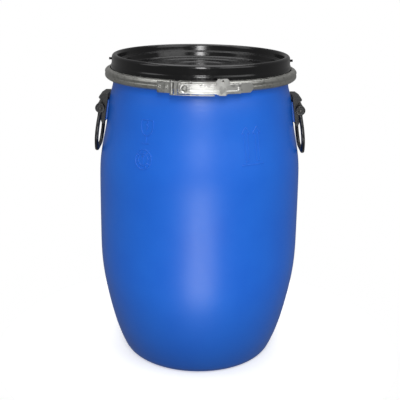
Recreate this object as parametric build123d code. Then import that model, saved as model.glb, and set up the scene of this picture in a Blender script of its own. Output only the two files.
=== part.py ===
"""Plastic open head drum, 60 litres: blow-moulded body, lid, lever locking ring and two drop handles.

Millimetres, +Z up. The origin is on the floor under the middle of the base. The ring's closure is at
the front, towards -Y, and the handles are at +X and -X.
"""
from build123d import *
import math
import os

# Drum body
WALL = 3.0
BODY_RADIUS = 200.0
BODY_WIDEST_Z = 275.0
FOOT_INNER = 124.0
FOOT_OUTER = 131.0
BASE_RISE = 9.0
BASE_THICKNESS = 4.0
HEEL_RADIUS = 159.3
HEEL_TOP = 28.0
NECK_FOOT_RADIUS = 171.2
NECK_FOOT_Z = 556.0
NECK_OUTER = 168.5
NECK_INNER = 164.8
NECK_TOP = 602.7
FLANGE_RADIUS = 182.4

# Lid
LID_TOP = 614.5
PANEL_TOP = 589.0
PANEL_THICKNESS = 3.0
LUG_WIDTH = 4.0

# Locking ring: rolled hoop of sheet steel
HOOP_SHEET = 1.2
HOOP_OUTER = 186.0
HOOP_GAP_START = -15.0
HOOP_GAP_END = -12.2

# Closure: its pieces follow arcs round the drum's axis. Across the front, x = radius * sin(angle).
PIVOT_RADIUS = 191.0
HINGE_X = -50.6
LEVER_PIVOT_X = -37.0
TOGGLE_X = -17.0
LEVER_END_X = 71.0
CATCH_X = 37.5
PLATE_IN = 186.05
PLATE_OUT = 187.55
PLATE_LOW = 567.3
PLATE_HIGH = 585.3
LEVER_FACE_IN = 194.3
LEVER_FACE_OUT = 195.8
LEVER_LOW = 567.7
LEVER_HIGH = 585.6
LEVER_SHEET = 1.2
LINK_LOW = 564.8
LINK_HIGH = 588.4
LINK_SHEET = 1.2
RIVET_RADIUS = 1.5
RUNNING_GAP = 0.06

# Handles
BRACKET_HALF = 28.0
HANDLE_PIVOT_R = 194.2
HANDLE_PIVOT_Z = 511.5
HANDLE_LEAN = 5.5
HANDLE_THICKNESS = 7.4
EYE_RADIUS = 9.4
EYE_INNER = 28.4
EYE_OUTER = 37.6
HANDLE_PIN_RADIUS = 3.0
BOSS_HALF = 15.0


def angle_at(x, radius=PIVOT_RADIUS):
    """Angle round the drum's axis, in degrees from the front, of a point at x on a radius."""
    return math.degrees(math.asin(x / radius))


def turned(outline):
    """A closed outline of edges in the XZ plane, turned all the way round the drum's axis."""
    return revolve(make_face(Wire(outline)), axis=Axis.Z)


def polygon_ring(points):
    """A ring whose section is the polygon through the given (radius, z) points."""
    corners = [(r, 0, z) for r, z in points]
    return turned(Polyline(*corners, close=True).edges())


def arc_plate(r_in, r_out, z_low, z_high, start, end):
    """A plate curved round the drum's axis, between two angles measured from the front."""
    section = Polyline((r_in, 0, z_low), (r_out, 0, z_low), (r_out, 0, z_high), (r_in, 0, z_high), close=True)
    plate = revolve(make_face(section), axis=Axis.Z, revolution_arc=end - start)
    return Rot(0, 0, start - 90) * plate


def at_front(shape, angle):
    """Carry a shape made at the front of the drum, at x = 0, round to an angle."""
    return Rot(0, 0, angle) * shape


def post(radius, z_low, z_high, angle, at=PIVOT_RADIUS):
    """An upright round post on the pivot circle."""
    return at_front(Pos(0, -at, (z_low + z_high) / 2) * Cylinder(radius, z_high - z_low), angle)


def front_box(x_low, x_high, r_in, r_out, z_low, z_high, angle=0.0):
    """A box at the front of the drum, carried round to an angle."""
    middle = Pos((x_low + x_high) / 2, -(r_in + r_out) / 2, (z_low + z_high) / 2)
    return at_front(middle * Box(x_high - x_low, r_out - r_in, z_high - z_low), angle)


def side_profile(points, half_width):
    """A prism on the right-hand side: a polygon of (radius, z) points, extruded along Y both ways."""
    face = make_face(Polyline(*[(r, 0, z) for r, z in points], close=True))
    return extrude(face, amount=half_width, both=True)


def side_bar(radius, half_length, middle_y=0.0, r=HANDLE_PIVOT_R, z=HANDLE_PIVOT_Z):
    """A round bar along Y on the right-hand handle's pivot axis."""
    return Pos(r, middle_y, z) * Rot(90, 0, 0) * Cylinder(radius, 2 * half_length)


def wall_line(inset):
    """The drum's side from the heel to the neck, moved inwards by inset: two tangent splines."""
    widest = (BODY_RADIUS - inset, 0, BODY_WIDEST_Z)
    lower = Spline(
        (HEEL_RADIUS - inset, 0, HEEL_TOP),
        (183.9 - inset, 0, 110),
        (198.4 - inset, 0, 200),
        widest,
        tangents=((0.39, 0, 0.92), (0, 0, 1)),
    )
    upper = Spline(
        widest,
        (199.5 - inset, 0, 365),
        (197.3 - inset, 0, 412),
        (183.2 - inset, 0, 490),
        (175.4 - inset, 0, 540),
        (NECK_FOOT_RADIUS - inset, 0, NECK_FOOT_Z),
        tangents=((0, 0, 1), (-0.2, 0, 0.98)),
    )
    return [lower, upper]


def handle_boss():
    """The moulded block on the drum's side that the handle bracket snaps over."""
    return side_profile([(183.0, 484), (191.0, 485.2), (184.6, 524.5), (176.6, 523.2)], BOSS_HALF)


def drum_shell():
    """Blow-moulded body: domed-in base, rounded heel, barrel side, neck with a flange and a plain lip."""
    foot = [
        Line((0, 0, BASE_RISE), (104, 0, BASE_RISE)),
        Spline((104, 0, BASE_RISE), (FOOT_INNER, 0, 0), tangents=((1, 0, 0), (1, 0, 0))),
        Line((FOOT_INNER, 0, 0), (FOOT_OUTER, 0, 0)),
        Spline((FOOT_OUTER, 0, 0), (146.5, 0, 6.4), (HEEL_RADIUS, 0, HEEL_TOP), tangents=((1, 0, 0), (0.39, 0, 0.92))),
    ]
    neck = Polyline(
        (NECK_FOOT_RADIUS, 0, NECK_FOOT_Z),
        (NECK_FOOT_RADIUS - 0.4, 0, 563),
        (172.4, 0, 567.9),
        (FLANGE_RADIUS - 1.4, 0, 571.7),
        (FLANGE_RADIUS, 0, 573.2),
        (FLANGE_RADIUS, 0, 577.2),
        (FLANGE_RADIUS - 1, 0, 578.2),
        (NECK_OUTER, 0, 578.2),
        (NECK_OUTER, 0, NECK_TOP - 1.2),
        (NECK_OUTER - 1.2, 0, NECK_TOP),
        (NECK_INNER + 1.2, 0, NECK_TOP),
        (NECK_INNER, 0, NECK_TOP - 1.2),
        (NECK_INNER, 0, 566),
        (NECK_FOOT_RADIUS - WALL, 0, NECK_FOOT_Z),
    )
    floor_z = BASE_RISE + BASE_THICKNESS
    inside = [
        Spline(
            (HEEL_RADIUS - WALL, 0, HEEL_TOP),
            (144.5, 0, 9.6),
            (FOOT_OUTER - 1, 0, BASE_THICKNESS),
            tangents=((-0.39, 0, -0.92), (-1, 0, 0)),
        ),
        Spline((FOOT_OUTER - 1, 0, BASE_THICKNESS), (104, 0, floor_z), tangents=((-1, 0, 0), (-1, 0, 0))),
        Line((104, 0, floor_z), (0, 0, floor_z)),
        Line((0, 0, floor_z), (0, 0, BASE_RISE)),
    ]
    body = turned(foot + wall_line(0) + list(neck.edges()) + wall_line(WALL) + inside)
    boss = handle_boss()
    cavity = turned(
        wall_line(WALL / 2)
        + [
            Line((NECK_FOOT_RADIUS - WALL / 2, 0, NECK_FOOT_Z), (0, 0, NECK_FOOT_Z)),
            Line((0, 0, NECK_FOOT_Z), (0, 0, HEEL_TOP)),
            Line((0, 0, HEEL_TOP), (HEEL_RADIUS - WALL / 2, 0, HEEL_TOP)),
        ]
    )
    boss = boss - cavity
    return body + boss + Rot(0, 0, 180) * boss


def lid():
    """Injection-moulded lid: clamping flange, hollow rim over the drum's lip, recessed ringed panel."""
    outline = Polyline(
        (FLANGE_RADIUS, 0, 579.0),
        (FLANGE_RADIUS, 0, 584.0),
        (181.0, 0, 585.2),
        (175.2, 0, 586.7),
        (174.8, 0, 589.5),
        (174.2, 0, 594.6),
        (172.9, 0, 596.6),
        (172.6, 0, 608.0),
    )
    crest = [
        ThreePointArc((172.6, 0, 608.0), (171.0, 0, 612.4), (166.6, 0, LID_TOP)),
        ThreePointArc((166.6, 0, LID_TOP), (162.3, 0, 612.9), (160.6, 0, 608.6)),
    ]
    panel = Polyline(
        (160.6, 0, 608.6),
        (159.4, 0, 601.2),
        (154.8, 0, 599.8),
        (153.0, 0, 591.0),
        (150.4, 0, PANEL_TOP),
        (125.0, 0, PANEL_TOP),
        (123.6, 0, PANEL_TOP + 1.6),
        (116.4, 0, PANEL_TOP + 1.6),
        (115.0, 0, PANEL_TOP),
        (79.0, 0, PANEL_TOP),
        (77.6, 0, PANEL_TOP + 1.6),
        (70.4, 0, PANEL_TOP + 1.6),
        (69.0, 0, PANEL_TOP),
        (27.0, 0, PANEL_TOP),
        (26.0, 0, PANEL_TOP + 1.2),
        (0, 0, PANEL_TOP + 1.2),
        (0, 0, PANEL_TOP - PANEL_THICKNESS),
        (152.0, 0, PANEL_TOP - PANEL_THICKNESS),
        (156.2, 0, 588.8),
        (157.8, 0, 597.6),
        (162.2, 0, 599.2),
        (163.5, 0, 609.2),
        (165.0, 0, 610.9),
        (168.3, 0, 610.9),
        (169.9, 0, 609.2),
        (169.9, 0, 579.0),
        (FLANGE_RADIUS, 0, 579.0),
    )
    body = turned(list(outline.edges()) + crest + list(panel.edges()))
    for turn in (0, 180):
        body += Rot(0, 0, turn) * Pos(175.0, 0, 603.0) * Box(7.0, LUG_WIDTH, 4.4)
    return body


def lid_gasket():
    """Foamed rubber ring in the top of the lid's rim, resting on the drum's lip."""
    return polygon_ring([(164.4, NECK_TOP + 0.3), (169.3, NECK_TOP + 0.3), (169.3, 609.0), (168.1, 610.5),
                         (165.2, 610.5), (164.4, 609.6)])


def ring_hoop():
    """Rolled steel hoop: a C section with lips above and below the two flanges, and a groove round it."""
    middle = HOOP_OUTER - HOOP_SHEET / 2
    path = Polyline(
        (176.2, 0, 588.2),
        (182.6, 0, 586.6),
        (middle, 0, 583.6),
        (middle, 0, 581.2),
        (middle - 1.2, 0, 580.0),
        (middle - 1.2, 0, 578.2),
        (middle, 0, 577.0),
        (middle, 0, 573.2),
        (182.6, 0, 570.2),
        (175.2, 0, 567.8),
    )
    section = Plane.XZ * trace(Plane.XZ.to_local_coords(path), line_width=HOOP_SHEET)
    gap = HOOP_GAP_END - HOOP_GAP_START
    return Rot(0, 0, HOOP_GAP_END - 90) * revolve(section, axis=Axis.Z, revolution_arc=360 - gap)


def link_bracket():
    """Pressed plate spot-welded to the hoop's left end, with a barrel for the link's hinge pin."""
    hinge = angle_at(HINGE_X)
    plate = arc_plate(PLATE_IN, PLATE_OUT, 566.6, 587.0, -24.2, hinge)
    trim = front_box(-20, 0, PLATE_IN - 2, PLATE_OUT + 2, 560, 569.8, -20.2)
    plate -= Pos(0, 0, -3.2) * trim
    web = front_box(-2.2, 2.2, PLATE_IN, PIVOT_RADIUS, 566.6, 587.0, hinge)
    barrel = post(3.2, 566.6, 587.0, hinge)
    return plate + web + barrel - post(RIVET_RADIUS + 0.02, 560, 600, hinge)


def headed_pin(z_low, z_high, angle, head=2.8, head_height=0.7):
    """A steel rivet with a flat head at each end."""
    pin = post(RIVET_RADIUS, z_low, z_high, angle)
    low = post(head, z_low - head_height, z_low, angle)
    high = post(head, z_high, z_high + head_height, angle)
    return pin + low + high


def link_pin():
    """Rivet through the barrel, which the link's two cheeks hook onto."""
    return headed_pin(LINK_LOW - 0.3, LINK_HIGH + 0.3, angle_at(HINGE_X))


def toggle_link():
    """Yoke that pulls the hoop shut: two cheeks outside the lever, joined by a web near the hinge."""
    hinge = angle_at(HINGE_X)
    toggle = angle_at(TOGGLE_X)
    end = angle_at(24.2)
    link = front_box(0.6, 6.6, 188.0, 189.4, LINK_LOW, LINK_HIGH, angle_at(-47.4))
    for z_low in (LINK_LOW, LINK_HIGH - LINK_SHEET):
        z_high = z_low + LINK_SHEET
        cheek = arc_plate(187.9, 194.5, z_low, z_high, hinge, end)
        cheek += post(3.3, z_low, z_high, hinge)
        cheek -= post(RIVET_RADIUS + RUNNING_GAP, z_low - 1, z_high + 1, hinge)
        mouth = RIVET_RADIUS + 0.35
        cheek -= front_box(-mouth, mouth, 184, PIVOT_RADIUS, z_low - 1, z_high + 1, hinge)
        cheek -= post(RIVET_RADIUS + RUNNING_GAP, z_low - 1, z_high + 1, toggle)
        link += cheek
    return link


def toggle_pin():
    """Rivet through the lever's flanges and the link's cheeks."""
    return headed_pin(LINK_LOW - 0.1, LINK_HIGH + 0.1, angle_at(TOGGLE_X), head=2.6)


def lever_bracket():
    """Long plate spot-welded to the hoop's right end, with two ears for the lever's rivets."""
    start = angle_at(-40.4)
    end = angle_at(93.6, PLATE_OUT)
    plate = arc_plate(PLATE_IN, PLATE_OUT, PLATE_LOW, PLATE_HIGH, start, end)
    for side in (-1, 1):
        corner_z = (PLATE_LOW + PLATE_HIGH) / 2 + side * (PLATE_HIGH - PLATE_LOW) / 2
        corner = Pos(0, -PLATE_OUT, corner_z) * Rot(0, 45, 0) * Box(8.0, 8.0, 8.0)
        plate -= at_front(corner, end)
    pivot = angle_at(LEVER_PIVOT_X)
    for z_low in (569.2, 582.7):
        ear = post(3.0, z_low, z_low + 1.4, pivot)
        ear += front_box(-3.0, 3.0, PLATE_IN, PIVOT_RADIUS, z_low, z_low + 1.4, pivot)
        ear -= post(RIVET_RADIUS + 0.02, z_low - 1, z_low + 3, pivot)
        plate += ear
    return plate


def lever_rivets():
    """Two short rivets, top and bottom, that the lever turns on, leaving room between them."""
    pivot = angle_at(LEVER_PIVOT_X)
    low = post(RIVET_RADIUS, 566.8, 571.0, pivot) + post(2.5, 566.4, 567.5, pivot)
    high = post(RIVET_RADIUS, 582.3, 586.4, pivot) + post(2.5, 585.8, 586.9, pivot)
    return Compound(children=[low, high])


def closing_lever():
    """Pressed channel lever: face outwards, two flanges towards the hoop, a long stiffening groove."""
    pivot = angle_at(LEVER_PIVOT_X)
    face_start = angle_at(LEVER_PIVOT_X + 2.0, LEVER_FACE_OUT)
    end = angle_at(LEVER_END_X, LEVER_FACE_OUT)
    lever = arc_plate(LEVER_FACE_IN, LEVER_FACE_OUT, LEVER_LOW, LEVER_HIGH, face_start, end)
    notch_start = angle_at(CATCH_X - 12.6)
    notch_end = angle_at(CATCH_X + 12.6)
    for z_low in (LEVER_LOW, LEVER_HIGH - LEVER_SHEET):
        z_high = z_low + LEVER_SHEET
        flange = arc_plate(187.9, LEVER_FACE_OUT, z_low, z_high, face_start, end)
        flange += arc_plate(188.2, 193.6, z_low, z_high, pivot, face_start + 0.2)
        flange += post(3.05, z_low, z_high, pivot)
        flange -= post(RIVET_RADIUS + RUNNING_GAP, z_low - 1, z_high + 1, pivot)
        flange -= post(RIVET_RADIUS + 0.02, z_low - 1, z_high + 1, angle_at(TOGGLE_X))
        if z_low == LEVER_LOW:
            flange -= arc_plate(186, LEVER_FACE_IN, z_low - 1, z_high + 1, notch_start, notch_end)
        lever += flange
    lever -= arc_plate(LEVER_FACE_OUT - 0.7, 198, 573.0, 580.2, angle_at(-20.0), angle_at(LEVER_END_X - 4.0))
    hole = Rot(90, 0, 0) * extrude(SlotOverall(11.0, 7.6, rotation=90), amount=10, both=True)
    lever -= at_front(Pos(0, -LEVER_FACE_OUT, 576.6) * hole, angle_at(-28.6))
    catch = angle_at(CATCH_X)
    for side in (-1, 1):
        x_low = side * 8.1 - 0.6
        lug = front_box(x_low, x_low + 1.2, 189.6, 194.6, 566.4, 571.2, catch)
        lug -= at_front(Pos(side * 8.1, -191.9, 567.6) * Rot(0, 90, 0) * Cylinder(1.02, 4), catch)
        lever += lug
    return lever


def catch_pin():
    """Thin rivet along the lever's lower edge that the safety catch turns on."""
    return at_front(Pos(0, -191.9, 567.6) * Rot(0, 90, 0) * Cylinder(1.0, 18.4), angle_at(CATCH_X))


def safety_catch():
    """Spring-steel clip: barrel below, strap up the lever's face, hook over its top edge, ear with an eye."""
    barrel = Pos(0, -191.9, 567.6) * Rot(0, 90, 0) * Cylinder(2.1, 14.4)
    catch = barrel + front_box(-6.5, 6.5, 191.9, 197.4, 565.5, 566.7)
    catch += front_box(-6.5, 6.5, 196.1, 197.4, 565.5, 588.0)
    catch += front_box(-6.5, 6.5, 189.2, 197.4, 586.0, 587.3)
    ear = front_box(-12.6, 12.6, 196.1, 197.4, 582.8, 595.0)
    for side in (-1, 1):
        ear -= Pos(side * 12.6, -196.8, 595.0) * Rot(0, 45, 0) * Box(6.4, 8, 6.4)
    catch += ear
    catch -= Pos(0, -191.9, 567.6) * Rot(0, 90, 0) * Cylinder(1.0 + RUNNING_GAP, 30)
    catch -= Pos(0, -196.8, 590.6) * Rot(90, 0, 0) * Cylinder(2.0, 6)
    return at_front(catch, angle_at(CATCH_X))


def handle_bracket():
    """Right-hand bracket: wedge nose above, barrel for the handle pin, pocket over the drum's boss."""
    bracket = side_profile(
        [
            (187.2, 480.0),
            (191.5, 478.6),
            (195.5, 490.0),
            (197.0, 503.0),
            (193.0, 519.0),
            (189.8, 524.5),
            (197.0, 529.5),
            (196.6, 533.0),
            (188.4, 538.5),
            (178.2, 538.5),
        ],
        BRACKET_HALF,
    )
    bracket += side_bar(8.6, BRACKET_HALF)
    pocket = side_profile([(181.0, 483.7), (191.4, 484.9), (184.9, 524.9), (174.6, 523.6)], BOSS_HALF + 0.3)
    bracket -= pocket
    return bracket - side_bar(HANDLE_PIN_RADIUS + 0.02, BRACKET_HALF + 1)


def handle_pin():
    """Round pin through the bracket's barrel and the handle's two eyes."""
    return side_bar(HANDLE_PIN_RADIUS, EYE_OUTER)


def drop_handle():
    """Right-hand drop handle: two eyes on the pin, arms that flare outwards, a rounded grip across."""
    outer = [(EYE_OUTER, 4), (EYE_OUTER, -10), (46.5, -20.5), (56.5, -32), (60.4, -44.5), (59.2, -57), (50, -72),
             (35, -84.5), (20, -86.4)]
    inner = [(EYE_INNER, 4), (EYE_INNER, -14), (39, -26.5), (48.5, -36.5), (51.8, -45.5), (51, -55), (43.5, -66.5),
             (31.5, -76.5), (18.5, -78)]
    outer += [(-y, z) for y, z in outer[::-1]]
    inner += [(-y, z) for y, z in inner[::-1]]
    plate = make_face(Polyline(*[(0, y, z) for y, z in outer], close=True))
    opening = make_face(Polyline(*[(0, y, z) for y, z in inner], close=True))
    ring = extrude(plate, amount=HANDLE_THICKNESS / 2, both=True, dir=(1, 0, 0))
    ring -= extrude(opening, amount=HANDLE_THICKNESS, both=True, dir=(1, 0, 0))
    long_edges = ring.edges().filter_by(Plane.YZ).sort_by(Axis.Z)
    grip_edges = [edge for edge in long_edges if edge.center().Z < -24]
    ring = fillet(grip_edges, 2.6)
    ring = Pos(HANDLE_PIVOT_R, 0, HANDLE_PIVOT_Z) * Rot(0, -HANDLE_LEAN, 0) * ring
    half = (EYE_OUTER - EYE_INNER) / 2
    for side in (-1, 1):
        middle_y = side * (EYE_OUTER + EYE_INNER) / 2
        ring += side_bar(EYE_RADIUS, half, middle_y)
        ring -= side_bar(HANDLE_PIN_RADIUS + RUNNING_GAP, half + 1, middle_y)
    return ring


def write(name, shape):
    """Write one node's STEP file."""
    shape.label = name
    export_step(shape, f"parts/{name}.step")


os.makedirs("parts", exist_ok=True)
write("drum_shell", drum_shell())
write("lid", lid())
write("lid_gasket", lid_gasket())
write("ring_hoop", ring_hoop())
write("link_bracket", link_bracket())
write("link_pin", link_pin())
write("toggle_link", toggle_link())
write("toggle_pin", toggle_pin())
write("lever_bracket", lever_bracket())
write("lever_rivets", lever_rivets())
write("closing_lever", closing_lever())
write("catch_pin", catch_pin())
write("safety_catch", safety_catch())
for side_name, turn in (("right", 0), ("left", 180)):
    write(f"handle_bracket_{side_name}", Rot(0, 0, turn) * handle_bracket())
    write(f"handle_pin_{side_name}", Rot(0, 0, turn) * handle_pin())
    write(f"handle_{side_name}", Rot(0, 0, turn) * drop_handle())
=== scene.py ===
"""Looks of a 60 litre plastic open head drum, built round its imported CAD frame. Metres, +Z up."""
import math
import bmesh
import bpy
import numpy as np
from mathutils import Matrix


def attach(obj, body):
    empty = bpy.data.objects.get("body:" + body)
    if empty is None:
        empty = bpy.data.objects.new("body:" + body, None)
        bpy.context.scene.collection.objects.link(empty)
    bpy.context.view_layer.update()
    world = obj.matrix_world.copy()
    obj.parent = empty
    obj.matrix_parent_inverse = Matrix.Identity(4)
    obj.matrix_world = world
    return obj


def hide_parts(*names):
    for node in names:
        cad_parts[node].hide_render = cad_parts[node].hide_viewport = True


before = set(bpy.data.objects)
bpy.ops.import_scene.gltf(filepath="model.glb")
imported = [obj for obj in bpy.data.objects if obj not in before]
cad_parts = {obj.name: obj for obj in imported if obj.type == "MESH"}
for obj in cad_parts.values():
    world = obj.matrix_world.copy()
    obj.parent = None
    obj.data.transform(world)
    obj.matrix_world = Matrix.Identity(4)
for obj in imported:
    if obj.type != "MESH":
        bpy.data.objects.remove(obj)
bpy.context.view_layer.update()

# ---------------------------------------------------------------------------------------------
# Drum body. One blow-moulded shell of blue high-density polyethylene, three millimetres thick:
# domed-in base, rounded heel, barrel side, and a neck with a clamping flange and a plain lip.

MM = 0.001
MERGE = 2e-6
LATHE_STEPS = 240
WALL = 3


def smooth_curve(points, start, end, count):
    """A clamped cubic spline through (radius, z) points: each span is a Hermite cubic in chord length,
    the end slopes are given directions, and the inner slopes make the second derivative continuous."""
    p = np.array(points, float)
    h = np.linalg.norm(np.diff(p, axis=0), axis=1)
    n = len(p)
    system = np.eye(n)
    right = np.zeros((n, 2))
    right[0] = np.array(start) / np.linalg.norm(start)
    right[-1] = np.array(end) / np.linalg.norm(end)
    inner = np.arange(1, n - 1)
    system[inner, inner - 1] = h[1:]
    system[inner, inner] = 2 * (h[:-1] + h[1:])
    system[inner, inner + 1] = h[:-1]
    rise = np.diff(p, axis=0) / h[:, None]
    right[inner] = 3 * (h[1:, None] * rise[:-1] + h[:-1, None] * rise[1:])
    slope = np.linalg.solve(system, right)
    knots = np.concatenate([[0], np.cumsum(h)])
    t = np.linspace(0, knots[-1], count)
    k = np.clip(np.searchsorted(knots, t, side="right") - 1, 0, n - 2)
    u = ((t - knots[k]) / h[k])[:, None]
    s = h[k][:, None]
    return ((2 * u**3 - 3 * u**2 + 1) * p[k] + (u**3 - 2 * u**2 + u) * s * slope[k]
            + (3 * u**2 - 2 * u**3) * p[k + 1] + (u**3 - u**2) * s * slope[k + 1])


def rounded(corners, closed=False, steps=5):
    """A polyline whose corners are rounded: corners are (x, y, radius), and each corner gives way to a
    quadratic arc from the point one radius before it to the point one radius after it."""
    c = np.array(corners, float)
    p, reach = c[:, :2], c[:, 2]
    before = np.roll(p, 1, axis=0) - p
    after = np.roll(p, -1, axis=0) - p
    length_b = np.linalg.norm(before, axis=1)
    length_a = np.linalg.norm(after, axis=1)
    cut_b = np.minimum(reach, 0.49 * length_b)[:, None] * before / length_b[:, None]
    cut_a = np.minimum(reach, 0.49 * length_a)[:, None] * after / length_a[:, None]
    if not closed:
        cut_b[[0, -1]] = 0
        cut_a[[0, -1]] = 0
    u = np.linspace(0, 1, steps)[None, :, None]
    arcs = (1 - u)**2 * (p + cut_b)[:, None] + 2 * u * (1 - u) * p[:, None] + u**2 * (p + cut_a)[:, None]
    path = arcs.reshape(-1, 2)
    moved = np.linalg.norm(path - np.roll(path, 1, axis=0), axis=1) > 1e-6
    return path[moved]


def grid_piece(name, grid, wrap_rows=False, wrap_columns=False, caps=False):
    """A smooth-shaded mesh from a grid of points (rows, columns, 3), one quad for each grid cell. Rows and
    columns can wrap round, caps close the first and last rows, and points that meet are merged."""
    rows, columns = grid.shape[:2]
    index = np.arange(rows * columns).reshape(rows, columns)
    if wrap_rows:
        index = np.vstack([index, index[:1]])
    if wrap_columns:
        index = np.hstack([index, index[:, :1]])
    quads = np.stack([index[:-1, :-1], index[:-1, 1:], index[1:, 1:], index[1:, :-1]], axis=-1)
    faces = quads.reshape(-1, 4).tolist()
    if caps:
        faces += [list(range(columns))[::-1], list(range((rows - 1) * columns, rows * columns))]
    mesh = bpy.data.meshes.new(name)
    mesh.from_pydata(grid.reshape(-1, 3).tolist(), [], faces)
    piece = bpy.data.objects.new(name, mesh)
    bpy.context.scene.collection.objects.link(piece)
    tidy_mesh(mesh)
    return piece


def tidy_mesh(mesh, crease=40):
    """Merge doubled points, turn every face outwards and shade smooth, with creases past an angle."""
    work = bmesh.new()
    work.from_mesh(mesh)
    bmesh.ops.remove_doubles(work, verts=work.verts, dist=MERGE)
    bmesh.ops.dissolve_degenerate(work, edges=work.edges, dist=1e-7)
    bmesh.ops.recalc_face_normals(work, faces=work.faces)
    for face in work.faces:
        face.smooth = True
    for edge in work.edges:
        edge.smooth = not (edge.is_manifold and edge.calc_face_angle(0) > math.radians(crease))
    work.to_mesh(mesh)
    work.free()


def lathe(name, outline):
    """A solid of revolution: the (radius, z) outline in millimetres, turned about the drum's axis."""
    angle = np.linspace(0, 2 * np.pi, LATHE_STEPS, endpoint=False)[:, None]
    r, z = outline[:, 0] * MM, outline[:, 1] * MM
    grid = np.stack([r * np.cos(angle), r * np.sin(angle), z + 0 * angle], axis=-1)
    return grid_piece(name, grid, wrap_rows=True)


def linear(colour):
    """An sRGB hex colour as linear RGBA."""
    c = np.array([int(colour[i:i + 2], 16) for i in (1, 3, 5)]) / 255
    low = c / 12.92
    high = ((c + 0.055) / 1.055) ** 2.4
    return (*np.where(c <= 0.04045, low, high).tolist(), 1.0)


def node(tree, kind, inputs=None, **settings):
    """Add a node, set its properties and fill its inputs: a value sets an input, a socket is linked to it."""
    made = tree.nodes.new(kind)
    for key, value in settings.items():
        setattr(made, key, value)
    for key, value in (inputs or {}).items():
        if isinstance(value, bpy.types.NodeSocket):
            tree.links.new(value, made.inputs[key])
        else:
            made.inputs[key].default_value = value
    return made


def finish_material(name, **shader):
    """A new material with one Principled shader, its sockets set, and its Object coordinates."""
    material = bpy.data.materials.new(name)
    material.use_nodes = True
    tree = material.node_tree
    surface = tree.nodes["Principled BSDF"]
    for key, value in shader.items():
        surface.inputs[key.replace("_", " ")].default_value = value
    place = node(tree, "ShaderNodeTexCoord").outputs["Object"]
    return material, tree, surface, place


def ramp(tree, factor, stops):
    """A colour ramp: stops are (position, hex colour or grey value)."""
    made = node(tree, "ShaderNodeValToRGB", {"Fac": factor})
    while len(made.color_ramp.elements) < len(stops):
        made.color_ramp.elements.new(0.5)
    for element, (position, colour) in zip(made.color_ramp.elements, stops):
        element.position = position
        element.color = linear(colour) if isinstance(colour, str) else (colour, colour, colour, 1)
    return made.outputs["Color"]


def moulded_polyethylene():
    """Blow-moulded HDPE, satin. The skin copies a blasted mould: a fine orange peel about 1.5 mm across,
    with slow waves where the wall cooled unevenly, faint handling rubs and a slightly waxy, even blue."""
    material, tree, surface, place = finish_material("blue_moulded_polyethylene", Roughness=0.42, IOR=1.52)
    slow = node(tree, "ShaderNodeTexNoise", {"Vector": place, "Scale": 9.0, "Detail": 3.0}).outputs["Fac"]
    peel = node(tree, "ShaderNodeTexNoise", {"Vector": place, "Scale": 640.0, "Detail": 2.0}).outputs["Fac"]
    wave = node(tree, "ShaderNodeTexNoise", {"Vector": place, "Scale": 16.0, "Detail": 1.0}).outputs["Fac"]
    colour = ramp(tree, slow, [(0.3, "#0f62d2"), (0.7, "#1569d8")])
    tree.links.new(colour, surface.inputs["Base Color"])
    stretched = node(tree, "ShaderNodeMapping", {"Vector": place, "Scale": (1.0, 1.0, 6.0)}).outputs["Vector"]
    rubs = node(tree, "ShaderNodeTexNoise", {"Vector": stretched, "Scale": 60.0, "Detail": 6.0,
                                             "Roughness": 0.7}).outputs["Fac"]
    rough = node(tree, "ShaderNodeMapRange", {"Value": rubs, "From Min": 0.35, "From Max": 0.75,
                                              "To Min": 0.36, "To Max": 0.47}).outputs["Result"]
    tree.links.new(rough, surface.inputs["Roughness"])
    waves = node(tree, "ShaderNodeBump", {"Height": wave, "Strength": 0.12, "Distance": 0.004})
    skin = node(tree, "ShaderNodeBump", {"Height": peel, "Strength": 0.10, "Distance": 0.0003,
                                         "Normal": waves.outputs["Normal"]})
    tree.links.new(skin.outputs["Normal"], surface.inputs["Normal"])
    return material


def wall_outline(inset, count=64):
    """The barrel side from heel to neck, moved inwards by inset."""
    lower = [(159.3, 28), (183.9, 110), (198.4, 200), (199.9, 275)]
    upper = [(199.9, 275), (199.5, 365), (197.3, 412), (183.2, 490), (175.4, 540), (171.2, 556)]
    shift = np.array([inset, 0])
    below = smooth_curve(np.array(lower) - shift, (0.39, 0.92), (0, 1), count)
    above = smooth_curve(np.array(upper) - shift, (0, 1), (-0.2, 0.98), count)
    return np.vstack([below, above[1:]])


base_outside = np.vstack([
    [(0, 9), (34, 9), (70, 9)],
    smooth_curve([(104, 9), (124, 0)], (1, 0), (1, 0), 12),
    smooth_curve([(131, 0), (146.5, 6.4), (159.3, 28)], (1, 0), (0.39, 0.92), 22)[:-1],
])
neck_and_lip = rounded([
    (171.0, 557.0, 0), (170.8, 563, 2), (172.4, 567.9, 2), (181, 571.7, 1.2), (182.4, 573.2, 1),
    (182.4, 577.2, 0.9), (181.4, 578.2, 0.9), (168.5, 578.2, 1.2), (168.5, 601.5, 1), (167.3, 602.7, 1),
    (166, 602.7, 1), (164.8, 601.5, 1), (164.8, 566, 6), (168.0, 557.0, 0)])
base_inside = np.vstack([
    smooth_curve([(156.3, 28), (144.5, 9.6), (130, 4)], (-0.39, -0.92), (-1, 0), 16)[1:],
    smooth_curve([(124, 4.4), (104, 13)], (-1, 0), (-1, 0), 8),
    [(60, 13), (0, 13)],
])
outer_wall = wall_outline(0)
inner_wall = wall_outline(WALL, 36)[::-1]
body_outline = np.vstack([base_outside, outer_wall, neck_and_lip, inner_wall, base_inside])
drum_body = lathe("drum_body", body_outline)
polyethylene = moulded_polyethylene()
drum_body.data.materials.append(polyethylene)
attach(drum_body, "drum")
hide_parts("drum_shell")

# ---------------------------------------------------------------------------------------------
# Moulded blocks. A block stands out of the body under each handle bracket, which snaps over it.
# They are part of the same moulding, in the same blue polyethylene, with well rounded edges.


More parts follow.
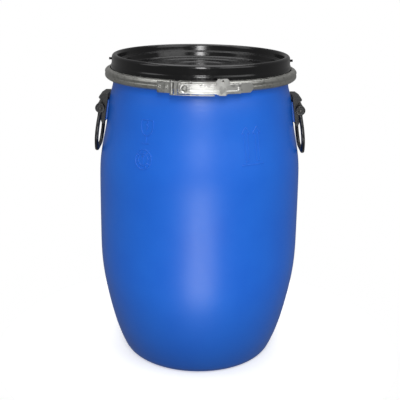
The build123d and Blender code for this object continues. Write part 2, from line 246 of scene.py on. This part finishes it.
def side_block(name, outline, half_width, side, bevel):
    """A block on the drum's side: a (radius, z) outline run along Y both ways, on the right for a side
    of 1 and turned half a turn about the drum's axis for -1, with rounded edges."""
    y = np.array([-half_width, half_width])[:, None]
    r, z = outline[:, 0], outline[:, 1]
    grid = np.stack([side * (r + 0 * y), side * (y + 0 * r), z + 0 * y], axis=-1) * MM
    block = grid_piece(name, grid, wrap_columns=True, caps=True)
    edge = block.modifiers.new("rounded_edges", "BEVEL")
    edge.width = bevel * MM
    edge.segments = 3
    edge.limit_method = "ANGLE"
    edge.angle_limit = math.radians(35)
    return block


for side_name, side in (("right", 1), ("left", -1)):
    outline = rounded([(178.0, 484, 0), (190.6, 485.2, 2), (184.4, 524.5, 2), (172.0, 523.2, 0)])
    block = side_block(f"handle_block_{side_name}", outline, 14.8, side, 0.8)
    block.data.materials.append(polyethylene)
    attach(block, "drum")

# ---------------------------------------------------------------------------------------------
# Moulded marks. Shallow beads raised on the body's front by grooves cut in the mould: a pair of
# this-way-up arrows over a ground line, a goblet for fragile goods, and a plain date dial.

BEAD_HALF = 0.95
BEAD_HEIGHT = 0.95
ARROWS_AT = (30.3, 472)
GOBLET_AT = (-31.6, 492)
DIAL_AT = (-32.2, 442)


def on_wall(angle, z, lift):
    """Points on the body's wall: an angle in degrees from the front, and a height and a lift in
    millimetres."""
    r = np.interp(z, outer_wall[:, 1], outer_wall[:, 0]) + lift
    a = np.radians(angle)
    return np.stack([r * np.sin(a), -r * np.cos(a), z], axis=-1) * MM


def moulded_bead(name, path, angle, z):
    """A half-round bead along a flat path of (across, up) millimetres, wrapped on to the wall at a place.
    The section is a half ellipse that closes under the skin, and it shrinks to a point at open ends."""
    p = np.array(path, float)
    step = np.concatenate([[0], np.cumsum(np.linalg.norm(np.diff(p, axis=0), axis=1))])
    even = np.linspace(0, step[-1], max(8, int(step[-1] / 0.9)))
    p = np.stack([np.interp(even, step, p[:, 0]), np.interp(even, step, p[:, 1])], axis=-1)
    along = np.gradient(p, axis=0)
    closed = np.linalg.norm(p[0] - p[-1]) < 0.01
    if closed:
        p, along = p[:-1], np.gradient(np.vstack([p[-2], p, p[1]]), axis=0)[1:-2]
    along /= np.linalg.norm(along, axis=1)[:, None]
    across = np.stack([-along[:, 1], along[:, 0]], axis=-1)
    fade = np.ones(len(p))
    if not closed:
        fade[[0, -1]] = 0
    turn = np.linspace(0, np.pi, 7)
    side = np.concatenate([np.cos(turn), [-0.6, 0.6]]) * BEAD_HALF
    lift = np.concatenate([np.sin(turn) * BEAD_HEIGHT - 0.1, [-0.5, -0.5]])
    flat = p[:, None] + across[:, None] * (side[None, :, None] * fade[:, None, None])
    height = z + flat[..., 1]
    wall = np.interp(height, outer_wall[:, 1], outer_wall[:, 0])
    degrees = angle + np.degrees(flat[..., 0] / wall)
    grid = on_wall(degrees, height, lift[None, :] * fade[:, None])
    return grid_piece(name, grid, wrap_rows=closed, wrap_columns=True)


def circle(radius, count=48):
    """A closed circle of (across, up) points."""
    a = np.linspace(0, 2 * np.pi, count + 1)
    return np.stack([radius * np.sin(a), radius * np.cos(a)], axis=-1)


arrow = [(-3.6, -29), (-3.6, 20), (-9.0, 20), (0, 33), (9.0, 20), (3.6, 20), (3.6, -29), (-3.6, -29)]
bowl = rounded([(-12, 21, 0), (-14, 8, 8), (-9, -4, 7), (0, -8, 5), (9, -4, 7), (14, 8, 8), (12, 21, 0)])
pointer = [(0, -8), (0, 8.5), (-3.4, 3.6), (0, 8.5), (3.4, 3.6)]
marks = [
    ("arrow_left", np.array(arrow) + (-11.5, 0), *ARROWS_AT),
    ("arrow_right", np.array(arrow) + (11.5, 0), *ARROWS_AT),
    ("ground_line", [(-24, -35), (24, -35)], *ARROWS_AT),
    ("goblet_bowl", np.vstack([bowl, bowl[:1]]), *GOBLET_AT),
    ("goblet_stem", [(0, -8), (0, -21)], *GOBLET_AT),
    ("goblet_foot", [(-9, -21), (9, -21)], *GOBLET_AT),
    ("goblet_crack", [(3, 20), (-2, 13), (2.5, 9), (-1, 2)], *GOBLET_AT),
    ("dial_rim", circle(17.5), *DIAL_AT),
    ("dial_hub", circle(10.5), *DIAL_AT),
    ("dial_pointer", pointer, *DIAL_AT),
]
for hour in range(12):
    a = math.radians(hour * 30)
    tick = [(12.6 * math.sin(a), 12.6 * math.cos(a)), (15.4 * math.sin(a), 15.4 * math.cos(a))]
    marks.append((f"dial_tick_{hour}", tick, *DIAL_AT))
for mark_name, path, angle, z in marks:
    bead = moulded_bead(f"mark_{mark_name}", path, angle, z)
    bead.data.materials.append(polyethylene)
    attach(bead, "drum")

# ---------------------------------------------------------------------------------------------
# Lid. Injection-moulded black polyethylene: a clamping flange, a hollow rim that drops over the
# drum's lip, and a recessed panel with two raised rings and a centre disc. Two small lugs stand out
# of the rim, one on each side.


def black_polyethylene(name, colour, roughness, peel_size, peel_strength):
    """Injection-moulded black polyethylene: a smooth, faintly greasy gloss that shows the tool's fine
    texture, slow sink marks and light scuffs. peel_size is the texture's size in millimetres."""
    material, tree, surface, place = finish_material(name, Roughness=roughness, IOR=1.52)
    slow = node(tree, "ShaderNodeTexNoise", {"Vector": place, "Scale": 22.0, "Detail": 4.0}).outputs["Fac"]
    tree.links.new(ramp(tree, slow, [(0.3, colour[0]), (0.7, colour[1])]), surface.inputs["Base Color"])
    scuff = node(tree, "ShaderNodeTexNoise", {"Vector": place, "Scale": 150.0, "Detail": 8.0,
                                              "Roughness": 0.75}).outputs["Fac"]
    rough = node(tree, "ShaderNodeMapRange", {"Value": scuff, "From Min": 0.4, "From Max": 0.75,
                                              "To Min": roughness - 0.05, "To Max": roughness + 0.12})
    tree.links.new(rough.outputs["Result"], surface.inputs["Roughness"])
    texture = node(tree, "ShaderNodeTexNoise", {"Vector": place, "Scale": 1000.0 / peel_size, "Detail": 2.0})
    sink = node(tree, "ShaderNodeBump", {"Height": slow, "Strength": 0.1, "Distance": 0.002})
    skin = node(tree, "ShaderNodeBump", {"Height": texture.outputs["Fac"], "Strength": peel_strength,
                                         "Distance": 0.0003, "Normal": sink.outputs["Normal"]})
    tree.links.new(skin.outputs["Normal"], surface.inputs["Normal"])
    return material


rim_crest = smooth_curve([(160.6, 608.6), (162.3, 612.9), (166.6, 614.5), (171.0, 612.4), (172.6, 608.0)],
                         (0.16, 0.98), (0.02, -1), 26)
rim_crest[:, 1] = np.minimum(rim_crest[:, 1], 614.5)
panel_top = rounded([
    (0, 590.2, 0), (26, 590.2, 0.6), (27, 589, 0.6), (69, 589, 1), (70.4, 590.6, 0.8), (77.6, 590.6, 0.8),
    (79, 589, 1), (115, 589, 1), (116.4, 590.6, 0.8), (123.6, 590.6, 0.8), (125, 589, 1), (150.4, 589, 1.4),
    (153, 591, 1.6), (154.8, 599.8, 1.4), (159.4, 601.2, 1.4), (160.5, 608.0, 0)])
rim_outside = rounded([
    (172.6, 607.6, 0), (172.9, 596.6, 0.8), (174.2, 594.6, 1), (174.8, 589.5, 1), (175.2, 586.7, 1.2),
    (181, 585.2, 1.2), (182.4, 584, 0.9), (182.4, 579, 0.5), (169.9, 579, 0.4), (169.9, 609.2, 0.8),
    (168.3, 610.9, 0.6), (165, 610.9, 0.6), (163.5, 609.2, 0.6), (162.2, 599.2, 1.2), (157.8, 597.6, 1.2),
    (156.2, 588.8, 1.2), (152, 586, 1.2), (0, 586, 0)])
lid_piece = lathe("lid_moulding", np.vstack([panel_top, rim_crest, rim_outside]))
lid_black = black_polyethylene("black_moulded_lid", ("#050506", "#09090a"), 0.17, 0.9, 0.03)
lid_piece.data.materials.append(lid_black)
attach(lid_piece, "lid")
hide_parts("lid")
for side_name, side in (("right", 1), ("left", -1)):
    outline = np.array([(172.2, 600.8), (178.5, 600.8), (178.5, 605.2), (172.2, 605.2)])
    lug = side_block(f"lid_lug_{side_name}", outline, 2.0, side, 0.5)
    lug.data.materials.append(lid_black)
    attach(lug, "lid")

# ---------------------------------------------------------------------------------------------
# Lid gasket. A foamed rubber ring poured into the top of the lid's rim. It is hidden at rest and
# seen when the lid is lifted, so the plain ring keeps its shape and takes a foam finish.


def foam_rubber():
    """Grey foamed rubber: matt, with small closed cells about 0.8 mm across that pit its surface. The grey
    darkens towards the bottom of each pit, which is painted shade.
    """
    material, tree, surface, place = finish_material("foamed_rubber", Roughness=0.85, IOR=1.5)
    cells = node(tree, "ShaderNodeTexVoronoi", {"Vector": place, "Scale": 1200.0}).outputs["Distance"]
    # Painted shade: the grey is darkest at each cell's middle, the bottom of the pit that the bump below
    # sinks.
    tree.links.new(ramp(tree, cells, [(0.1, "#4a4a48"), (0.6, "#6a6a67")]), surface.inputs["Base Color"])
    pits = node(tree, "ShaderNodeBump", {"Height": cells, "Strength": 0.5, "Distance": 0.0003})
    tree.links.new(pits.outputs["Normal"], surface.inputs["Normal"])
    return material


def dress(name, material):
    """Give a CAD node that keeps its shape its material."""
    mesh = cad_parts[name].data
    mesh.materials.clear()
    mesh.materials.append(material)


dress("lid_gasket", foam_rubber())

# ---------------------------------------------------------------------------------------------
# Locking hoop. A strip of galvanised steel 1.2 mm thick, rolled to a C section with a groove round
# it, and bent to a ring that wedges the lid's flange and the drum's flange together. A thin steel
# tongue inside it bridges the gap between its ends.


HOOP_HALF = 0.59
HOOP_ENDS = (-12.2, 345.0)
TONGUE_ENDS = (-19.0, -8.5)


def steel(name, colours, roughness, spangle, grain):
    """Zinc-coated sheet steel. Crystals spangle millimetres across vary its tone and gloss, fine rolling
    lines run along the strip, and the coat is a little cloudy. grain is how deep the lines are."""
    material, tree, surface, place = finish_material(name, Metallic=1.0, Roughness=roughness)
    crystals = node(tree, "ShaderNodeTexVoronoi", {"Vector": place, "Scale": 1000.0 / spangle})
    tone = node(tree, "ShaderNodeSeparateColor", {"Color": crystals.outputs["Color"]}).outputs["Red"]
    cloud = node(tree, "ShaderNodeTexNoise", {"Vector": place, "Scale": 40.0, "Detail": 5.0}).outputs["Fac"]
    mixed = node(tree, "ShaderNodeMath", {0: tone, 1: cloud}, operation="ADD").outputs[0]
    tree.links.new(ramp(tree, mixed, [(0.25, colours[0]), (0.95, colours[1])]), surface.inputs["Base Color"])
    rough = node(tree, "ShaderNodeMapRange", {"Value": mixed, "From Max": 1.4, "To Min": roughness - 0.07,
                                              "To Max": roughness + 0.08})
    tree.links.new(rough.outputs["Result"], surface.inputs["Roughness"])
    lines = node(tree, "ShaderNodeMapping", {"Vector": place, "Scale": (60.0, 60.0, 2600.0)})
    rolled = node(tree, "ShaderNodeTexNoise", {"Vector": lines.outputs["Vector"], "Scale": 1.0,
                                               "Detail": 4.0}).outputs["Fac"]
    relief = node(tree, "ShaderNodeBump", {"Height": rolled, "Strength": grain, "Distance": 0.0002})
    tree.links.new(relief.outputs["Normal"], surface.inputs["Normal"])
    return material


def offset_strip(centre, half):
    """The closed outline of a strip of metal: its centre line moved by half to each side."""
    along = np.gradient(centre, axis=0)
    along /= np.linalg.norm(along, axis=1)[:, None]
    normal = np.stack([along[:, 1], -along[:, 0]], axis=-1)
    return np.vstack([centre + half * normal, (centre - half * normal)[::-1]])


def swept_arc(name, section, start, end, steps, relief=None):
    """A solid swept round the drum's axis between two angles in degrees from the front. section is a
    closed (radius, z) outline, and relief(x, z, r) gives how far each surface point moves inwards."""
    angle = np.radians(np.linspace(start, end, steps))[:, None]
    r = section[None, :, 0] + 0 * angle
    z = section[None, :, 1] + 0 * angle
    if relief is not None:
        r = r - relief(r * np.sin(angle), z, r)
    return grid_piece(name, np.stack([r * np.sin(angle), -r * np.cos(angle), z], axis=-1) * MM,
                      wrap_columns=True, caps=True)


hoop_line = rounded([
    (176.2, 588.2, 0), (182.6, 586.6, 1.8), (185.4, 583.6, 1.6), (185.4, 581.2, 0.6), (184.2, 580, 0.6),
    (184.2, 578.2, 0.6), (185.4, 577, 0.6), (185.4, 573.2, 1.6), (182.6, 570.2, 1.8), (175.2, 567.8, 0)])
hoop = swept_arc("hoop_rolled", offset_strip(hoop_line, HOOP_HALF), *HOOP_ENDS, 260)
galvanised = steel("galvanised_steel", ("#8e8e89", "#b2b2ad"), 0.34, 4.0, 0.2)
hoop.data.materials.append(galvanised)
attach(hoop, "ring")
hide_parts("ring_hoop")
tongue_section = np.array([(182.55, 573.6), (183.5, 573.6), (183.5, 583.7), (182.55, 583.7)])
tongue = swept_arc("hoop_tongue", tongue_section, *TONGUE_ENDS, 24)
tongue.data.materials.append(galvanised)
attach(tongue, "ring")

# ---------------------------------------------------------------------------------------------
# Closure brackets. Two pressed galvanised plates spot-welded to the hoop's ends: the left one rolls
# round a hinge pin, and the long right one has ears for the lever's rivets and a cropped end.


def angle_of(x, radius):
    """The angle from the front, in degrees, of a point at x on a radius."""
    return math.degrees(math.asin(x / radius))


def softened(name, node_name, width, segments=2):
    """A copy of a CAD node's mesh, merged and cleaned of flat joins, with its edges bevelled by width."""
    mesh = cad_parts[node_name].data.copy()
    mesh.name = name
    mesh.materials.clear()
    work = bmesh.new()
    work.from_mesh(mesh)
    bmesh.ops.remove_doubles(work, verts=work.verts, dist=MERGE)
    bmesh.ops.dissolve_limit(work, angle_limit=math.radians(0.4), verts=work.verts, edges=work.edges)
    work.to_mesh(mesh)
    work.free()
    tidy_mesh(mesh)
    piece = bpy.data.objects.new(name, mesh)
    bpy.context.scene.collection.objects.link(piece)
    edge = piece.modifiers.new("rounded_edges", "BEVEL")
    edge.width = width * MM
    edge.segments = segments
    edge.limit_method = "ANGLE"
    edge.angle_limit = math.radians(38)
    return piece


def clinch(name, x, z, radius, r_plate):
    """A pressed joint mark on a curved plate: a round bead of half-ellipse section, 0.6 mm high, whose
    middle sinks back to the plate. Its rim goes 0.2 mm under the plate's face."""
    away = np.linspace(0, radius, 14)[:, None]
    turn = np.linspace(0, 2 * np.pi, 32, endpoint=False)[None, :]
    height = 0.6 * np.sin(np.pi * np.clip(away / radius, 0, 1) ** 1.6) - 0.2 * (away / radius) ** 8
    degrees = np.arcsin(x / r_plate) + away * np.cos(turn) / r_plate
    up = z + away * np.sin(turn)
    r = r_plate + 0.02 + height + 0 * turn
    top = np.stack([r * np.sin(degrees), -r * np.cos(degrees), up], axis=-1) * MM
    return grid_piece(name, top, wrap_columns=True)


hinge_x, lever_pivot_x, toggle_x, catch_x = -50.6, -37.0, -17.0, 37.5
PIVOT_CIRCLE = 191
PLATE_R = 187.55
hinge_plate = softened("link_bracket_pressing", "link_bracket", 0.35)
dull_zinc = steel("dull_galvanised_steel", ("#8f908c", "#b4b4b0"), 0.40, 3.0, 0.25)
bright = steel("bright_zinc_plated_steel", ("#adadaa", "#dadad6"), 0.3, 7.0, 0.12)
lever_plate = softened("lever_bracket_pressing", "lever_bracket", 0.35)
clinches = [clinch(f"clinch_mark_{k}", x, 577.2, 3.6, PLATE_R) for k, x in enumerate((-73.0, -59.5))]
finishes = [(hinge_plate, dull_zinc), (lever_plate, bright), *((mark, dull_zinc) for mark in clinches)]
for piece, material in finishes:
    piece.data.materials.append(material)
    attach(piece, "ring")
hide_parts("link_bracket")
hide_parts("lever_bracket")

# ---------------------------------------------------------------------------------------------
# Rivets. Solid steel rivets with domed heads: the link's hinge pin, the lever's two short rivets,
# and the toggle pin between the lever and the link.


def rivet(name, x, z_low, z_high, head, low_head=True, high_head=True):
    """An upright rivet on the closure's pivot circle: a 3 mm shank whose domed heads stand past z_low and
    z_high. The dome is a quarter ellipse turned round the shank's own axis."""
    a = np.linspace(0, np.pi / 2, 8)
    dome = np.stack([head * np.cos(a), 0.68 * np.sin(a)], axis=-1)
    top = dome + (0, z_high) if high_head else np.array([(1.5, z_high), (0, z_high)])
    bottom = dome[::-1] * (1, -1) + (0, z_low) if low_head else np.array([(0, z_low), (1.5, z_low)])
    outline = np.vstack([bottom, [(1.5, z_low), (1.5, z_high)], top])
    turn = np.linspace(0, 2 * np.pi, 28, endpoint=False)[:, None]
    angle = math.radians(angle_of(x, PIVOT_CIRCLE))
    grid = np.stack([PIVOT_CIRCLE * math.sin(angle) + outline[:, 0] * np.cos(turn),
                     -PIVOT_CIRCLE * math.cos(angle) + outline[:, 0] * np.sin(turn),
                     outline[:, 1] + 0 * turn], axis=-1) * MM
    return grid_piece(name, grid, wrap_rows=True)


rivet_steel = steel("zinc_plated_rivet_steel", ("#b4b4b2", "#d2d2d0"), 0.24, 6.0, 0.05)
rivets = [
    ("link_hinge_rivet", hinge_x, 564.5, 588.7, 2.8, True, True, "ring", "link_pin"),
    ("toggle_rivet", toggle_x, 564.7, 588.5, 2.6, True, True, "lever", "toggle_pin"),
    ("lever_rivet_low", lever_pivot_x, 567.1, 571.0, 2.5, True, False, "ring", "lever_rivets"),
    ("lever_rivet_high", lever_pivot_x, 582.3, 586.2, 2.5, False, True, "ring", "lever_rivets"),
]
for rivet_name, x, z_low, z_high, head, low_head, high_head, body, cad_node in rivets:
    piece = rivet(rivet_name, x, z_low, z_high, head, low_head, high_head)
    piece.data.materials.append(rivet_steel)
    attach(piece, body)
    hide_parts(cad_node)
dress("catch_pin", rivet_steel)

# ---------------------------------------------------------------------------------------------
# Toggle link. A yoke of two steel cheeks joined by a web: it hooks on the hinge rivet, runs outside
# the lever, and the lever's rivet pulls it to close the hoop.

link_piece = softened("toggle_link_yoke", "toggle_link", 0.25)
link_piece.data.materials.append(bright)
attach(link_piece, "link")
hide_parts("toggle_link")

# ---------------------------------------------------------------------------------------------
# Closing lever. One pressing in bright zinc-plated steel: a channel with a stiffening groove along
# its face and an obround hole near its pivot. It folds flat against the hoop when shut.

FACE_R, FACE_MIDDLE = 195.8, 576.65
FACE_IN = 194.3
LEVER_LOW, LEVER_HIGH, SHEET = 567.75, 585.55, 1.15
SLOT_X, SLOT_WIDTH, SLOT_HEIGHT = -28.6, 7.6, 11


def groove(x, z, r):
    """The lever's stiffening groove, 1 mm deep with sloping sides: how far a point is inside a long slot
    with round ends, eased from its edge over 1.3 mm. The obround hole's rim is dished the same way, down
    1 mm over the 1.8 mm around it. Only the outer face takes them."""
    inside = 3.7 - np.hypot(x - np.clip(x, -16.4, 63.4), z - FACE_MIDDLE)
    ease = np.clip((inside + 0.2) / 1.3, 0, 1)
    straight = (SLOT_HEIGHT - SLOT_WIDTH) / 2
    z_near = np.clip(z, FACE_MIDDLE - straight, FACE_MIDDLE + straight)
    outside = np.hypot(x - SLOT_X, z - z_near) - SLOT_WIDTH / 2
    dish = np.clip(1 - outside / 1.8, 0, 1) ** 1.5
    return np.where(r > FACE_R - 0.4, ease**2 * (3 - 2 * ease) + dish, 0)


def slot_cutter():
    """A block with the outline of the upright slot with round ends, that reaches through the face."""
    turn = np.linspace(0, 2 * np.pi, 40, endpoint=False)
    across = SLOT_WIDTH / 2 * np.cos(turn)
    up = SLOT_WIDTH / 2 * np.sin(turn) + np.sign(np.sin(turn)) * (SLOT_HEIGHT - SLOT_WIDTH) / 2
    angle = math.radians(angle_of(SLOT_X, FACE_R))
    r = np.array([FACE_R - 3, FACE_R + 3])[:, None]
    grid = np.stack([r * math.sin(angle) + across * math.cos(angle),
                     -r * math.cos(angle) + across * math.sin(angle),
                     FACE_MIDDLE + up + 0 * r], axis=-1) * MM
    return grid_piece("cutter", grid, wrap_columns=True, caps=True)


inside_low, inside_high = LEVER_LOW + SHEET, LEVER_HIGH - SHEET
face_z = np.linspace(inside_low, inside_high, 44)
channel = rounded([
    (187.9, LEVER_LOW, 0.3), (FACE_R, LEVER_LOW, 1.5), *((FACE_R, z, 0) for z in face_z[1:-1]),
    (FACE_R, LEVER_HIGH, 1.5), (187.9, LEVER_HIGH, 0.3), (187.9, inside_high, 0.3),
    (FACE_IN, inside_high, 0.5), (FACE_IN, inside_low, 0.5), (187.9, inside_low, 0.3)], closed=True)
lever_ends = (angle_of(-35.2, FACE_R), angle_of(70.9, FACE_R))
lever_piece = swept_arc("closing_lever_pressing", channel, *lever_ends, 220, groove)
notch = np.array([(186.5, 566.5), (FACE_IN, 566.5), (FACE_IN, 568.95), (186.5, 568.95)])
notch_ends = (angle_of(catch_x - 12.6, PIVOT_CIRCLE), angle_of(catch_x + 12.6, PIVOT_CIRCLE))
cutters = [slot_cutter(), swept_arc("cutter_notch", notch, *notch_ends, 12)]
for cutter in cutters:
    cut = lever_piece.modifiers.new("cut", "BOOLEAN")
    cut.object = cutter
    cut.solver = "EXACT"
shape = bpy.data.meshes.new_from_object(lever_piece.evaluated_get(bpy.context.evaluated_depsgraph_get()))
lever_piece.modifiers.clear()
lever_piece.data = shape
for cutter in cutters:
    bpy.data.objects.remove(cutter)
tidy_mesh(shape)


def washer(name, x, z_low, z_high, hole, radius):
    """A flat ring round an upright pin on the pivot circle: a rectangle turned round the pin's axis."""
    section = np.array([(hole, z_low), (radius, z_low), (radius, z_high), (hole, z_high)])
    turn = np.linspace(0, 2 * np.pi, 36, endpoint=False)[:, None]
    angle = math.radians(angle_of(x, PIVOT_CIRCLE))
    grid = np.stack([PIVOT_CIRCLE * math.sin(angle) + section[:, 0] * np.cos(turn),
                     -PIVOT_CIRCLE * math.cos(angle) + section[:, 0] * np.sin(turn),
                     section[:, 1] + 0 * turn], axis=-1) * MM
    return grid_piece(name, grid, wrap_rows=True, wrap_columns=True)


lever_parts = [lever_piece]
arm_ends = (angle_of(-35.4, PIVOT_CIRCLE), angle_of(-33.5, PIVOT_CIRCLE))
for level, z_low in (("low", LEVER_LOW), ("high", inside_high)):
    z_high = z_low + SHEET
    arm = np.array([(188.25, z_low), (193.6, z_low), (193.6, z_high), (188.25, z_high)])
    lever_parts.append(washer(f"lever_eye_{level}", lever_pivot_x, z_low, z_high, 1.56, 3.0))
    lever_parts.append(swept_arc(f"lever_arm_{level}", arm, *arm_ends, 6))
for side_name, side in (("left", -8.1), ("right", 8.1)):
    ends = [angle_of(catch_x + side + offset, PIVOT_CIRCLE) for offset in (-0.55, 0.55)]
    lug = np.array([(189.7, 566.5), (194.5, 566.5), (194.5, 571.1), (189.7, 571.1)])
    lever_parts.append(swept_arc(f"lever_catch_lug_{side_name}", lug, *ends, 3))
for piece in lever_parts:
    piece.data.materials.append(bright)
    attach(piece, "lever")
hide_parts("closing_lever")

# ---------------------------------------------------------------------------------------------
# Safety catch. A clip of bright sheet steel that turns on a thin rivet at the lever's lower edge,
# hooks over the hoop's top and carries an ear with an eye for a seal.

catch_piece = softened("safety_catch_clip", "safety_catch", 0.3)
catch_piece.data.materials.append(bright)
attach(catch_piece, "catch")
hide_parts("safety_catch")

# ---------------------------------------------------------------------------------------------
# Handle brackets and handles. Injection-moulded black nylon: each bracket snaps over a moulded block
# on the body, and a steel pin through its barrel carries a drop handle with two eyes and a rounded grip.

handle_black = black_polyethylene("black_moulded_nylon", ("#070708", "#0c0c0d"), 0.36, 0.7, 0.08)
# Painted shade: the pin steel's colour is darkened to stand in for the shade on the pin ends, which sit deep
# in the barrels.
pin_steel = steel("pin_steel_darkened_for_shade", ("#3c3b3a", "#565553"), 0.38, 6.0, 0.1)
PIVOT_R, PIVOT_Z, LEAN = 194.2, 511.5, math.radians(5.5)
BOW_THICKNESS = 7.3
PIN_R, PIN_HALF = 3, 37.5


def leaned(points):
    """Points in the handle's own plane (out, across, up) turned outwards about its pivot, in metres."""
    out, across, up = points[..., 0], points[..., 1], points[..., 2]
    x = PIVOT_R + out * math.cos(LEAN) - up * math.sin(LEAN)
    z = PIVOT_Z + out * math.sin(LEAN) + up * math.cos(LEAN)
    return np.stack([x, across, z], axis=-1) * MM


def handle_bow():
    """The handle's arms and grip: a rounded-square section swept along a smooth path in the handle's
    plane, from one eye, out round the flared arms and the grip, to the other eye."""
    half = [(-33, -1), (-33, -11.5), (-42, -22.5), (-52.5, -34.5), (-56.1, -45), (-55.2, -56), (-46.8, -69.2),
            (-33.2, -80.5), (-19, -82.2), (0, -82.2)]
    line = np.array(half + [(-across, up) for across, up in half[-2::-1]])
    centre = smooth_curve(line, (0, -1), (0, 1), 150)
    along = np.gradient(centre, axis=0)
    along /= np.linalg.norm(along, axis=1)[:, None]
    normal = np.stack([-along[:, 1], along[:, 0]], axis=-1)
    turn = np.linspace(0, 2 * np.pi, 32, endpoint=False)
    power = 0.75
    wide = np.sign(np.cos(turn)) * np.abs(np.cos(turn)) ** power
    thick = np.sign(np.sin(turn)) * np.abs(np.sin(turn)) ** power
    half_width = np.interp(centre[:, 1], [-82, -45, -11], [4.1, 4.2, 4.5])[:, None]
    across = centre[:, None, 0] + normal[:, None, 0] * wide * half_width
    up = centre[:, None, 1] + normal[:, None, 1] * wide * half_width
    return leaned(np.stack([BOW_THICKNESS / 2 * thick + 0 * up, across, up], axis=-1))


def eye_ring(middle, half_length):
    """One eye: a ring about the pin's axis, turned from a section with rounded edges."""
    section = rounded([(3.1, -half_length, 0.4), (9.4, -half_length, 1.4), (9.4, half_length, 1.4),
                       (3.1, half_length, 0.4)], closed=True)
    turn = np.linspace(0, 2 * np.pi, 64, endpoint=False)[:, None]
    return leaned(np.stack([section[:, 0] * np.cos(turn), middle + section[:, 1] + 0 * turn,
                            section[:, 0] * np.sin(turn)], axis=-1))


def pin_rod():
    """The handle's steel pin: a 6 mm rod with small chamfers, about the pivot axis."""
    end = np.array([(PIN_R, PIN_HALF - 0.6), (PIN_R - 0.6, PIN_HALF), (0, PIN_HALF)])
    outline = np.vstack([end[::-1] * (1, -1), end])
    turn = np.linspace(0, 2 * np.pi, 32, endpoint=False)[:, None]
    return leaned(np.stack([outline[:, 0] * np.cos(turn), outline[:, 1] + 0 * turn,
                            outline[:, 0] * np.sin(turn)], axis=-1))


for side_name, side in (("right", 1), ("left", -1)):
    flip = np.array([side, side, 1])
    bow = grid_piece(f"handle_bow_{side_name}", handle_bow() * flip, wrap_columns=True, caps=True)
    eyes = [grid_piece(f"handle_eye_{side_name}_{end}", eye_ring(middle, 4.55) * flip, True, True)
            for end, middle in (("front", -33), ("back", 33))]
    for piece in (bow, *eyes):
        piece.data.materials.append(handle_black)
        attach(piece, f"handle_{side_name}")
    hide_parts(f"handle_{side_name}")
    bracket = softened(f"handle_bracket_moulding_{side_name}", f"handle_bracket_{side_name}", 0.9, 3)
    bracket.data.materials.append(handle_black)
    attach(bracket, "drum")
    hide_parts(f"handle_bracket_{side_name}")
    pin = grid_piece(f"handle_pin_rod_{side_name}", pin_rod() * flip, wrap_rows=True)
    pin.data.materials.append(pin_steel)
    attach(pin, "drum")
    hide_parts(f"handle_pin_{side_name}")

# ---------------------------------------------------------------------------------------------
# Stage. A plain pale floor that glows faintly, so that it stays white, but isn't seen in the drum's
# surface. Two narrow softboxes stand before the drum, one on each side above it and one overhead.
# The world is white to the camera and dim as a light, so the lid stays black.

bpy.ops.mesh.primitive_circle_add(vertices=128, radius=0.42, fill_type="NGON")
floor = bpy.context.object
floor.name = "floor"
matt, tree, surface, place = finish_material("pale_matt_floor", Roughness=0.9, Emission_Strength=0.5)
grain = node(tree, "ShaderNodeTexNoise", {"Vector": place, "Scale": 3.0, "Detail": 3.0}).outputs["Fac"]
pale = ramp(tree, grain, [(0.3, "#f2f2f2"), (0.7, "#f6f6f6")])
tree.links.new(pale, surface.inputs["Base Color"])
surface.inputs["Emission Color"].default_value = linear("#ffffff")
floor.data.materials.append(matt)
floor.visible_diffuse = False
floor.visible_glossy = False

world = bpy.data.worlds.new("studio")
bpy.context.scene.world = world
world.use_nodes = True
sky = world.node_tree
seen = node(sky, "ShaderNodeLightPath").outputs["Is Camera Ray"]
strength = node(sky, "ShaderNodeMapRange", {"Value": seen, "To Min": 0.24, "To Max": 1.0}).outputs["Result"]
sky.links.new(strength, sky.nodes["Background"].inputs["Strength"])
sky.nodes["Background"].inputs["Color"].default_value = (1, 1, 1, 1)


def softbox(name, place, size, power, target=(0, 0, 0.32)):
    """An area light, width by height, at a place, turned to face a target."""
    light = bpy.data.lights.new(name, "AREA")
    light.shape = "RECTANGLE"
    light.size, light.size_y = size
    light.energy = power
    box = bpy.data.objects.new(name, light)
    bpy.context.scene.collection.objects.link(box)
    way = np.array(target) - np.array(place)
    level = math.hypot(way[0], way[1])
    box.location = place
    box.rotation_euler = (math.pi / 2 + math.atan2(way[2], level), 0, math.atan2(-way[0], way[1]))


softbox("softbox_front_low", (0.06, -2.2, -0.65), (1.0, 1.3), 22)
softbox("softbox_front_high", (0.03, -2.2, 1.6), (0.4, 1.3), 24)
softbox("softbox_right", (2.0, -1.8, 2.2), (2.4, 1.6), 20)
softbox("softbox_left", (-2.2, -0.8, 2.2), (1.2, 1.6), 8)
softbox("softbox_overhead", (0, 0.3, 2.6), (2.2, 2.2), 36, (0, 0.29, 0))

lens = bpy.data.cameras.new("camera")
lens.lens = 73.98
lens.sensor_width = 36
camera = bpy.data.objects.new("camera", lens)
bpy.context.scene.collection.objects.link(camera)
pitch, yaw, roll = math.radians(17.0), math.radians(0.07), math.radians(0.79)
facing = Matrix.Rotation(-yaw, 4, "Z") @ Matrix.Rotation(math.pi / 2 - pitch, 4, "X")
camera.matrix_world = Matrix.Translation((0, -1.609, 0.809)) @ facing @ Matrix.Rotation(roll, 4, "Z")
bpy.context.scene.camera = camera
bpy.context.scene.view_settings.view_transform = "Standard"
